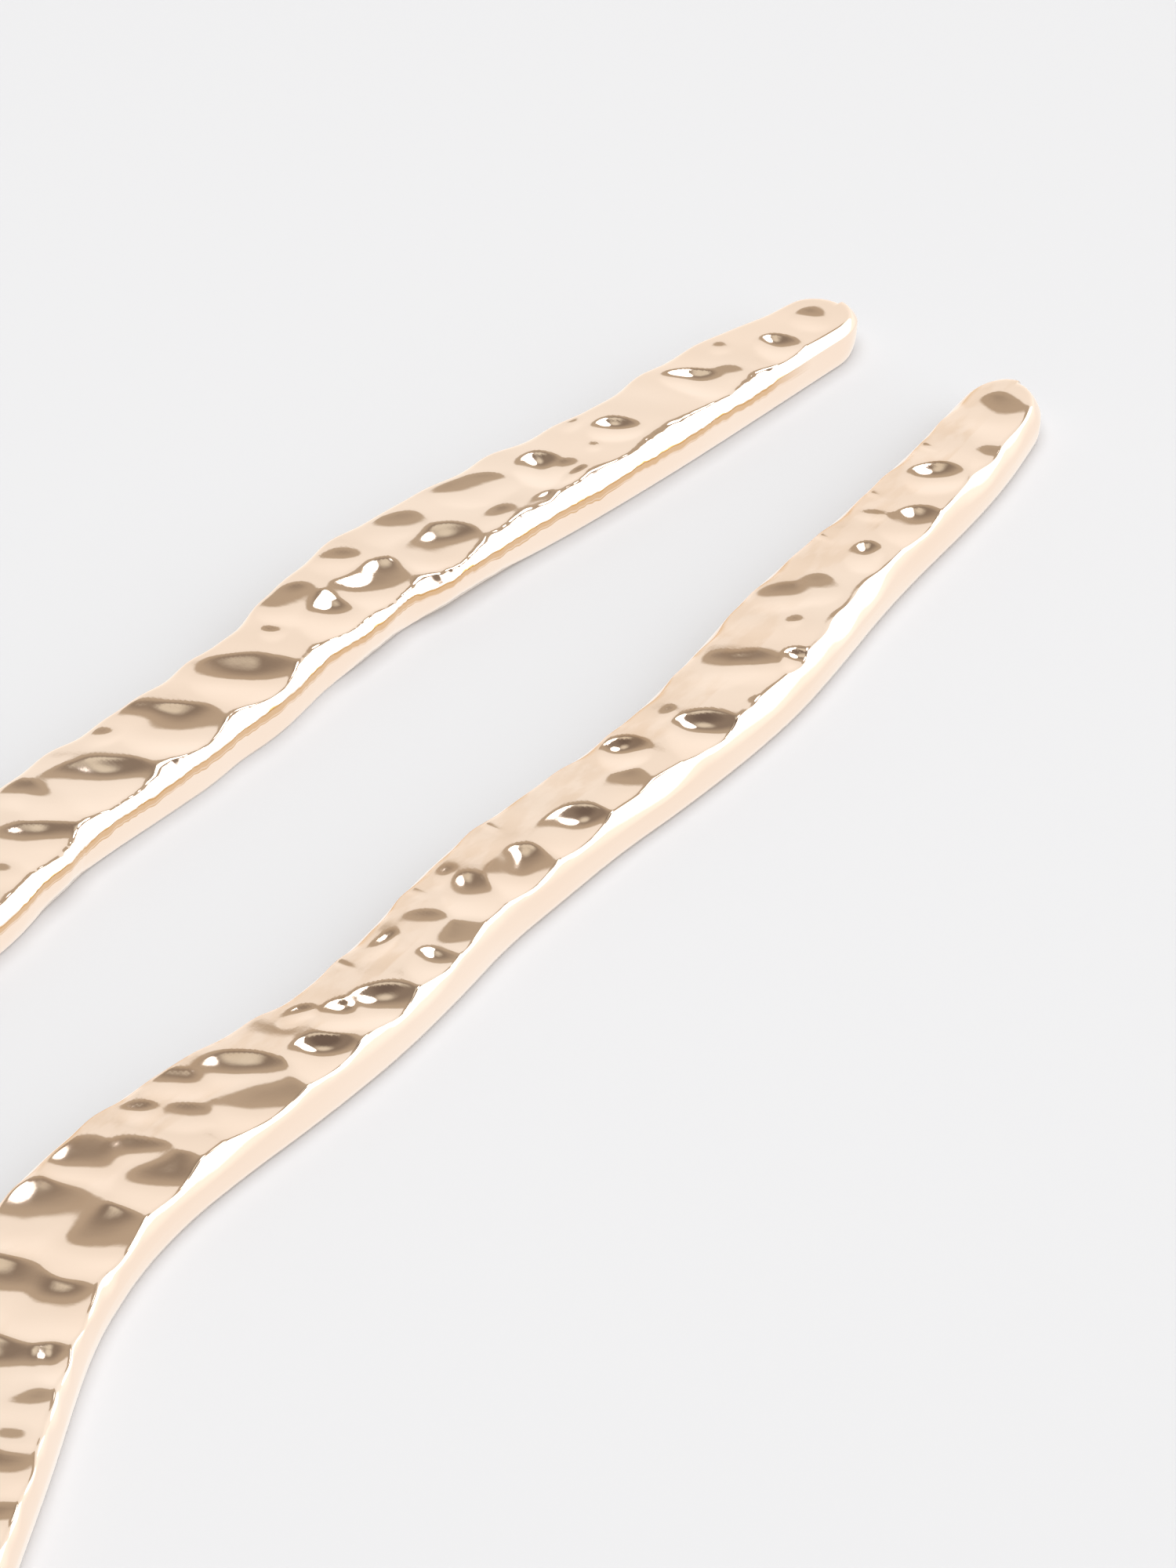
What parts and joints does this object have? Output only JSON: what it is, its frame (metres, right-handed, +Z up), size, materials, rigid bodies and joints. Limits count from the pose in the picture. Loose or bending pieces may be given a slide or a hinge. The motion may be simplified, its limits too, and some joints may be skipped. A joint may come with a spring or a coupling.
{
  "type": "french hair pin",
  "caption": "U-shaped hair pin in polished pale gold metal, with a round open head, long wavy prongs with blunt tips, and a hammered top face.",
  "frame": {"origin": "bottom centre of the pin's box, on the plane that the underside rests on", "axes": "+Y from the round head to the prong tips, +X to the right prong, +Z up from the underside to the hammered face"},
  "size_m": [0.0489, 0.1238, 0.0022],
  "materials": {
    "pale_gold": "polished pale rose-gold plating over a hammered casting"
  },
  "bodies": {
    "root": {"hair_pin": "pale_gold"}
  },
  "joints": []
}
